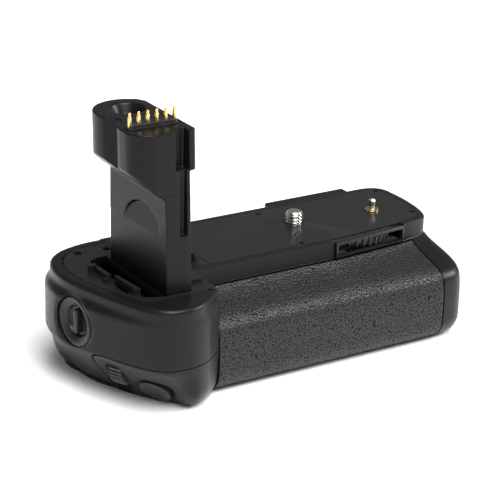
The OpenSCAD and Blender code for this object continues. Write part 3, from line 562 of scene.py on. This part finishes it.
def pebble(s, t):
    """Leather grain: domed cells of two sizes with creases between them."""
    w = .35 * np.sin(s * 1.9 + 1.3 * np.sin(t * 1.1)) + .3 * np.sin(t * 2.3 + s * .7)
    d1, d2 = cells(s + w * .5, t - w * .4, .82, 3)
    e1, e2 = cells(s * .92 + 7, t * 1.08 + 3 + w * .3, .5, 8)
    dome = np.clip(1 - (d1 / .72) ** 2, 0, 1)
    crease = np.clip((d2 - d1) * 3.2, 0, 1)
    small = np.clip((e2 - e1) * 2.6, 0, 1)
    return .42 * dome + .36 * crease + .22 * small


def rubber_skin(name, u0, u1, z0, z1, ref_u, ref_z, pitch, raise_, depth, body, node, grain=.38):
    rows = arc_rows(lambda z: bar(np.full(len(z), ref_u), z), z0, z1, pitch)
    cols = arc_cols(lambda u: bar(u, np.full(len(u), ref_z)), u0, u1, pitch)
    U, Z = np.meshgrid(cols, rows)
    G = bar(U, Z, -raise_)
    n = normals(G)
    t = np.concatenate([[0], np.cumsum(np.linalg.norm(np.diff(bar(np.full(len(rows), ref_u), rows), axis=0), axis=1))])[:, None] * np.ones_like(U)
    s = np.concatenate([np.zeros((len(rows), 1)), np.cumsum(np.linalg.norm(np.diff(G, axis=1), axis=2), axis=1)], 1)
    e = np.minimum(np.minimum(t, t.max() - t), np.minimum(s, s[:, -1:] - s))
    drop = .42 * (1 - np.sqrt(np.clip(1 - (1 - np.clip(e / .7, 0, 1)) ** 2, 0, 1)))
    peb = pebble(s, t)
    g = grain * (1 - peb) * step(.15, .6, e)
    # pebble height per vertex; the rubber material paints creases dark (painted shade) and tops light (painted
    # highlight) from it
    tone = np.concatenate([np.where(e > .3, peb, .6).ravel(), np.full(U.size, .5)])
    O = G - n * (drop + g)[..., None]
    H = G - n * depth
    return make(name, *skin(O, H), body, RUBBER, "rubber", (node,), 80, grain=tone)


rubber_skin("grip_skin", .03, 6.665, 32.45, .85, 2.0, 15.0, .22, 0.0, 1.15, "housing", "grip_rubber")
rubber_skin("rear_pad", 16.15, 17.1, 28.0, 10.0, 16.5, 20.0, .24, 1.4, 1.3, "housing", "rear_rubber")

# ------------------------------------------------------------------ end cap of the drawer
cu_ = np.concatenate([arc_cols(lambda u: block(u, np.full(len(u), 25.0)), 0, 7.7, .55), [7.72, 7.75, 7.79, 7.82, 7.87, 7.92, 7.97, 8.04, 8.12, 8.2, 8.27, 8.35, 8.45, 8.57],
                      arc_cols(lambda u: block(u, np.full(len(u), 25.0)), 8.7, 19, .55)])
CBs = smooth([(0,2.7),(7.69,2.7),(7.7,2.7),(7.72,11.6),(7.82,14.6),(7.97,16.35),(8.27,17.4),(8.7,17.85),(19,17.85)])
top_o = [DECK, DECK - .1, DECK - .25, DECK - .45, DECK - .7, DECK - 1, DECK - 1.3, DECK - 1.7, DECK - 2.2] + list(np.arange(36.5, 21.0, -.55)) + [21.0]
top_i = list(np.linspace(DECK - 2, DECK - 2.6, 9)) + list(np.arange(36.5, 21.0, -.55)) + [21.0]


def lip(u, z):
    p = block(u, np.full(len(u), 36.5), TI(u))
    f = p[:, 1] < -25.7
    return np.stack([np.where(f, np.minimum(p[:, 0], -34), p[:, 0]), np.where(f, -25.7, p[:, 1]), np.full(len(u), z)], -1)


def cap_grid(zs, ins):
    rows = [lip(cu_, zs[0])]
    rim = block(cu_, np.full(len(cu_), zs[0]), ins)
    rows += [rows[0] * (1 - t) + rim * t for t in (.03, .3, .65)]
    rows += [block(cu_, np.full(len(cu_), z), ins) for z in zs]
    rows += [block(cu_, 21 + (CBs(cu_) - 21) * t, ins) for t in np.linspace(0, 1, 34)[1:]]
    return np.stack(rows)


G = cap_grid(top_o, 0.0)
H = cap_grid(top_i, WALL)
# soft lip where the surface turns into the round recess of the lock knob
q = (G - KNOB_P) @ KNOB_M
r = np.hypot(q[..., 0], q[..., 1])
near = (q[..., 2] > -6)
dip = np.where(near, .4 * (1 - step(9.0, 10.4, r)) ** 1.5, 0)
G = G - normals(G) * dip[..., None]
cap = make("cap_shell", *skin(G, H), "drawer", BLACK, "shell", ("drawer_cap",), 40)
V, F = drum(KNOB_R + .1, -12, 8, 128)
cut(cap, place(V, KNOB_M, KNOB_P), F)
for x, y in ((-47.1, -27.4), (-44.8, -28.4)):
    V, F = drum(.42, DECK - .7, DECK + 2, 32)
    cut(cap, V + np.array([x, y, 0]), F)
shade(cap, 40)

# ------------------------------------------------------------------ control corner
ku = np.concatenate([[7.78, 7.81, 7.84, 7.88, 7.92, 7.97, 8.02, 8.1, 8.2, 8.3, 8.42, 8.55], arc_cols(lambda u: block(u, np.full(len(u), 12.0)), 8.7, 19, .5)])
CZs = smooth([(7.78,11.5),(7.88,14.2),(8.02,15.9),(8.3,17),(8.7,17.5),(19,17.5)])
corner_c = np.array([-35.5, -7.5])


def corner_grid(z0, ins):
    rows = [block(ku, z0 + (CZs(ku) - z0) * t, ins) for t in np.linspace(1, 0, 44)]
    base = rows[-1][:, :2]
    for t in (.03, .1, .25, .5, .9):
        p = base * (1 - t) + corner_c * t
        rows.append(np.concatenate([p, np.full((len(ku), 1), z0)], 1))
    return np.stack(rows)


G = corner_grid(0.0, 0.0)
H = corner_grid(WALL, WALL)
n = normals(G)
q = (G - DIAL_P) @ DIAL_M
up = step(.05, .6, G[..., 2])
scoop = 1.0 * np.exp(-(q[..., 1] / 3.6) ** 4) * np.exp(-(q[..., 0] / 8.5) ** 4) * (q[..., 2] > -6) * up
qb = (G - BTN_P) @ BTN_M
rb = np.hypot(qb[..., 0], qb[..., 1])
ring = .45 * (1 - step(6.0, 7.4, rb)) * (qb[..., 2] > -5) * up
G = G - n * (scoop + ring)[..., None]
H = H - n * (scoop * .75)[..., None]
cover = make("control_shell", *skin(G, H), "housing", BLACK, "shell", ("control_cover",), 40)
V, F = drum(6.0, -8, 6, 96)
cut(cover, place(V, BTN_M, BTN_P), F)
axle = DIAL_P + DIAL_M @ np.array([0, 0, -DIAL_R + 1.9])
DM = DIAL_M @ rot((90, 0, 0))
V, F = drum(DIAL_R + .2, -DIAL_W / 2 - .4, DIAL_W / 2 + .4, 96)
cut(cover, place(V, DM, axle), F)
shade(cover, 40)


# ------------------------------------------------------------------ ribbed wheels
def ribbed(R, depth, count, width, bore, duty=.5, seg=14, soft=.35, phase=0.0):
    a = np.linspace(0, 2 * math.pi, count * seg, endpoint=False)
    w = (a - phase) * count / (2 * math.pi)
    w = w - np.round(w)
    wave = 1 - step(duty * .30, duty * .98, np.abs(w) * 2 * .5 / .5)
    rows = [(bore, 0), (R - depth - 1.4, 0), (None, 0.0), (None, soft * .3), (None, soft), (None, width - soft), (None, width - soft * .3), (None, width), (R - depth - 1.4, width), (bore, width)]
    cutin = [0, 0, soft, soft * .3, 0, 0, soft * .3, soft, 0, 0]
    V, F = [], []
    for (rr, z), c in zip(rows, cutin):
        rad = np.full(len(a), rr) if rr is not None else R - depth + depth * wave - c
        V.append(np.stack([rad * np.cos(a), rad * np.sin(a), np.full(len(a), z)], -1))
    m = len(a)
    k = len(rows)
    for i in range(k):
        for j in range(m):
            F.append((i * m + j, i * m + (j + 1) % m, ((i + 1) % k) * m + (j + 1) % m, ((i + 1) % k) * m + j))
    return np.concatenate(V), F


gm = 40.0 / 48
V, F = ribbed(gm * 18.66, gm * 1.6, 36, 3.2, 1.55, duty=.5, phase=math.radians(180 - 19.9))
make("thumbwheel_ribbed", V + np.array([*WHEEL_XY, 33.98]), F, "wheel", RIBS_PAINTED_LIGHT, "control", ("thumbwheel",), 60)
V, F = ribbed(DIAL_R - .5, .6, 30, DIAL_W, 1.05, duty=.62, soft=.5)
make("dial_ribbed", place(V - np.array([0, 0, DIAL_W / 2]), DM, axle), F, "dial", RIBS_PAINTED_LIGHT, "control", ("control_dial",), 60)

# ------------------------------------------------------------------ lock knob: dish, pit and finger bar
prof = rounded([(0, -4.4), (8.8, -4.4), (8.8, -1.35), (8.45, -1.0), (7.3, -1.3), (5.6, -2.15), (5.05, -3.4), (0, -3.5)], .4, 5)
V1, F1 = lathe(prof, 160)
V2, F2 = rounded_box((-4.3, -1.1, -3.9), (4.3, 1.1, -1.35), .5, 4)
V3, F3 = drum(2.4, -13, -4.35, 64)
V, F = join((V1, F1), (V2, F2), (V3, F3))
make("knob_dish", place(V, KNOB_M, KNOB_P), F, "lock", CONTROL, "control", ("lock_knob",), 50)


# ------------------------------------------------------------------ camera screw with a real thread
def thread(r, z0, z1, pitch, depth, seg=96, per=14):
    zs = np.linspace(z0, z1, int((z1 - z0) / pitch * per) + 1)
    a = np.linspace(0, 2 * math.pi, seg, endpoint=False)
    A, Zg = np.meshgrid(a, zs)
    w = Zg / pitch - A / (2 * math.pi)
    w = np.abs(w - np.floor(w) - .5) * 2
    rad = r - depth * step(.12, .86, w)
    top = r - np.clip(Zg - (z1 - .75), 0, 1) * .95
    low = np.where(Zg < z0 + .3, r - depth, 9)
    rad = np.minimum(np.minimum(rad, top), low)
    V = np.stack([rad * np.cos(A), rad * np.sin(A), Zg], -1).reshape(-1, 3)
    F = []
    n = len(zs)
    for i in range(n - 1):
        for j in range(seg):
            F.append((i * seg + j, i * seg + (j + 1) % seg, (i + 1) * seg + (j + 1) % seg, (i + 1) * seg + j))
    c0, c1 = n * seg, n * seg + 1
    V = np.concatenate([V, [[0, 0, z0], [0, 0, z1 + .03]]])
    for j in range(seg):
        F.append((c0, (j + 1) % seg, j)); F.append((c1, (n - 1) * seg + j, (n - 1) * seg + (j + 1) % seg))
    return V, F


V1, F1 = thread(3.175, DECK - 1.5, DECK + 4.17, 1.27, .62)
V2, F2 = lathe([(0, 33.1), (1.95, 33.1), (1.95, 34), (2.4, 34), (2.4, DECK - 1.4), (0, DECK - 1.4)], 64)
V, F = join((V1, F1), (V2, F2))
make("threaded_screw", V + np.array([*SCREW_XY, 0]), F, "screw", NICKEL, "nickel", ("camera_screw",), 45)

# ------------------------------------------------------------------ stalk: core and head as one moulding
TOP = 94.3
RX, RZ = rot((-2.8, 0, 0)), rot((0, 0, 1.82))
side = lambda V: place(V, RZ, (-49.8, -23.2, 0))
arc = lambda cx, cy, r, a0, a1, d: [(cx + r * math.cos(math.radians(a)), cy + r * math.sin(math.radians(a))) for a in np.arange(a0, a1 + .01, d)]
HEAD = [(-37.6, -19), (-37.6, 14.2), (-39.4, 17.4)] + arc(-47.6, 8, 12.1, 60, 200, 5) + [(-57.4, 2.8), (-55.8, 1.4), (-55.3, -1), (-56.2, -3.4), (-58.6, -5), (-59.9, -7), (-60.2, -9.4)] \
    + arc(-52.2, -12.5, 8, 180, 270, 4) + [(-38.8, -20.5)]
V, F = prism(HEAD, 60, 104)
V = place(V - np.array([0, -20.5, TOP]), RX, (0, -20.5, TOP))
stalk = make("stalk_shell", V, F, "housing", BLACK2, "shell", ("stalk_core", "stalk_head"), 40)
cut(stalk, *box((-80, -60, TOP), (0, 60, 130)))
cut(stalk, *box((-80, -60, 40), (0, 60, 71.62)))
V, F = box((-40, -60, -40), (0, 60, 0))
cut(stalk, place(V, rot((0, 41.5, 0)), (-49.8, 0, 71.62)), F)
cut(stalk, *box((-40.4, -60, 60), (-30, 60, 80.6)))
cut(stalk, *box((-52, 15, 60), (-30, 60, 78)))
front = lambda z: -23.2 + (z - DECK) * math.tan(math.radians(2.8))
P = [(front(36.1), 36.1), (14.6, 36.1), (14.6, 58), (15, 58), (15, 72.9), (front(72.9), 72.9)]
V, F = prism([(y, z) for y, z in P], -51.2, -40.4)
V = V[:, [2, 0, 1]]
core = make("core_tmp", V, F, "housing", BLACK2)
W, E = box((-10, -5, 30), (0, 45, 80))
cut(core, side(W), E)
V = np.array([v.co for v in core.data.vertices]) / MM
F = [tuple(f.vertices) for f in core.data.polygons]
bpy.data.objects.remove(core)
cut(stalk, V, F, "UNION")
cut(stalk, *box((-45.8, -30, 80.8), (-40.7, -16.8, 100)))
cut(stalk, *box((-44.6, -30, 58.3), (-41.8, -19.6, 80.9)))
V, F = drum(12.9, 0, 8, 128)
cut(stalk, side(place(V, rot((0, 9.5, 0)) @ rot((0, -90, 0)), np.array([0, 16.6, 57.8]) + rot((0, 9.5, 0)) @ np.array([0, 0, -4]))), F)
V, F = lathe([(0, -5.5), (2.2, -5.4), (3.3, -4.8), (4.4, -3.3), (5.3, -1.6), (6.0, -.35), (6.5, .05), (6.5, 3), (0, 3)], 96)
cut(stalk, V + np.array([-47.2, 9.6, TOP]), F)
V, F = drum(.8, -1.2, 4, 40)
cut(stalk, V + np.array([-50.2, -18.4, TOP]), F)
V, F = prism(arc(-41.2, -10.0, 1.7, 0, 90, 10) + arc(-56.8, -10.0, 1.7, 90, 180, 10) + arc(-56.8, -10.8, 1.7, 180, 270, 10) + arc(-41.2, -10.8, 1.7, 270, 360, 10), TOP - .5, TOP + 4)
cut(stalk, V, F)
stalk.data.materials.clear()
stalk.data.materials.append(BLACK2)
shade(stalk, 180)
m = stalk.modifiers.new("moulded_edges", "REMESH")
m.mode, m.voxel_size, m.use_smooth_shade = "VOXEL", .28 * MM, True
m = stalk.modifiers.new("soften", "SMOOTH")
m.factor, m.iterations = .5, 6

# ------------------------------------------------------------------ contact block, crimped barrels and sprung tips
z0 = TOP + 1.4
slab_rows = []
for ins, z in ((0, TOP - .45), (0, TOP + .2), (.08, TOP + .28), (.35, TOP + .32), (.38, TOP + .4), (.38, z0 - .3), (.44, z0 - .12), (.6, z0)):
    k = 1.6 - ins * .8
    slab_rows.append([(x, y, z) for x, y in arc(-39.6 - ins - k, -8.4 - ins - k, k, 0, 90, 10) + arc(-58.4 + ins + k, -8.4 - ins - k, k, 90, 180, 10)
                      + arc(-58.4 + ins + k, -12.4 + ins + k, k, 180, 270, 10) + arc(-39.6 - ins - k, -12.4 + ins + k, k, 270, 360, 10)])
n = len(slab_rows[0])
F = [tuple(range(n))[::-1], tuple(range((len(slab_rows) - 1) * n, len(slab_rows) * n))]
F += [(i * n + j, i * n + (j + 1) % n, (i + 1) * n + (j + 1) % n, (i + 1) * n + j) for i in range(len(slab_rows) - 1) for j in range(n)]
make("contact_slab", [v for row in slab_rows for v in row], F, "housing", CONTROL, "control", ("contact_block",), 38)
barrel = rounded([(0, TOP - .4), (.68, TOP - .4), (.68, z0 + 2.5), (.62, z0 + 2.58), (.62, z0 + 2.66), (.66, z0 + 2.72), (.6, z0 + 2.8), (.5, z0 + 2.8), (.5, z0 + .15), (0, z0 + .15)], .05, 3)
tip = rounded([(0, z0 + 1.35), (.45, z0 + 1.35), (.45, z0 + 3.75), (.40, z0 + 4.0), (.22, z0 + 4.17), (0, z0 + 4.19)], .1, 4)
BV, BF = lathe(barrel, 40)
TV, TF = lathe(tip, 40)
at = [np.array([-57.4 + 3.3 * i, -10.9, 0]) for i in range(6)]
make("gold_barrels", *join(*[(BV + p, BF) for p in at]), "housing", GOLD, "gold", ("pin_barrels",), 45)
make("gold_tips", *join(*[(TV + p, TF) for p in at]), "pins", GOLD, "gold", ("contact_plungers",), 45)

# ------------------------------------------------------------------ bezel round the thumbwheel
V, F = rounded_box((-15.88, -.88, 32.97), (15.88, .98, 38.98), .3, 3)
bezel = make("window_bezel", place(V, rot((0, 0, 4.8)), (42.5, -8, 0)), F, "housing", DECKM, "deck", ("window_frame",), 40)
V, F = rounded_box((-15.0, -4, 33.7), (15.0, 4, 37.95), .4, 3)
cut(bezel, place(V, rot((0, 0, 4.8)), (42.5, -8, 0)), F)
bezel.data.materials.clear()
bezel.data.materials.append(DECKM)
shade(bezel, 40)

# ------------------------------------------------------------------ stage: floor, lights, camera
me = bpy.data.meshes.new("floor")
me.from_pydata([(-6, -6, 0), (6, -6, 0), (6, 6, 0), (-6, 6, 0)], [], [(0, 1, 2, 3)])
floor = bpy.data.objects.new("floor", me)
bpy.context.scene.collection.objects.link(floor)
floor.location.z = -.0002
fm, nt, b = nodes_of("floor_pale")
b.inputs["Base Color"].default_value = (.93, .93, .93, 1)
b.inputs["Roughness"].default_value = .9
b.inputs["Specular IOR Level"].default_value = .1
me.materials.append(fm)

w = bpy.data.worlds.new("studio")
bpy.context.scene.world = w
w.use_nodes = True
w.node_tree.nodes["Background"].inputs["Color"].default_value = (1, 1, 1, 1)
w.node_tree.nodes["Background"].inputs["Strength"].default_value = .22


def area(name, loc, target, size, power, sy=None):
    l = bpy.data.lights.new(name, "AREA")
    l.energy = power
    l.shape = "RECTANGLE"
    l.size, l.size_y = size, sy or size
    o = bpy.data.objects.new(name, l)
    o.location = loc
    o.rotation_euler = (Vector(target) - Vector(loc)).to_track_quat("-Z", "Y").to_euler()
    bpy.context.scene.collection.objects.link(o)
    return o


sun = bpy.data.lights.new("overhead_soft", "SUN")
sun.energy = 3.9
sun.angle = math.radians(42)
so = bpy.data.objects.new("overhead_soft", sun)
so.rotation_euler = Vector((.02, .46, -.86)).to_track_quat("-Z", "Y").to_euler()
bpy.context.scene.collection.objects.link(so)
area("front_left", (-.75, -.85, .55), (-.02, 0, .04), .4, 1.3)
area("top_strip", (-.1, -.25, .9), (0, 0, .05), .16, 2.2, .9)
area("right_soft", (.95, -.35, .55), (.03, 0, .04), .4, 9.0)

cam = bpy.data.cameras.new("photo_camera")
cam.sensor_width = 36
cam.lens = 1880 / 500 * 36
co = bpy.data.objects.new("photo_camera", cam)
bpy.context.scene.collection.objects.link(co)
az, el, roll = (math.radians(v) for v in (-32.34, 21.74, 1.63))
back = Vector((math.sin(az) * math.cos(el), -math.cos(az) * math.cos(el), math.sin(el)))
right = Vector((math.cos(az), math.sin(az), 0))
up_ = right.cross(-back)
right, up_ = right * math.cos(roll) + up_ * math.sin(roll), -right * math.sin(roll) + up_ * math.cos(roll)
co.matrix_world = Matrix.Translation(Vector((-4.412, -1.618, 39.216)) * MM + back * .6588) @ Matrix((right, up_, back)).transposed().to_4x4()
cam.clip_start, cam.clip_end = .01, 20
bpy.context.scene.camera = co
bpy.context.scene.view_settings.view_transform = "Standard"
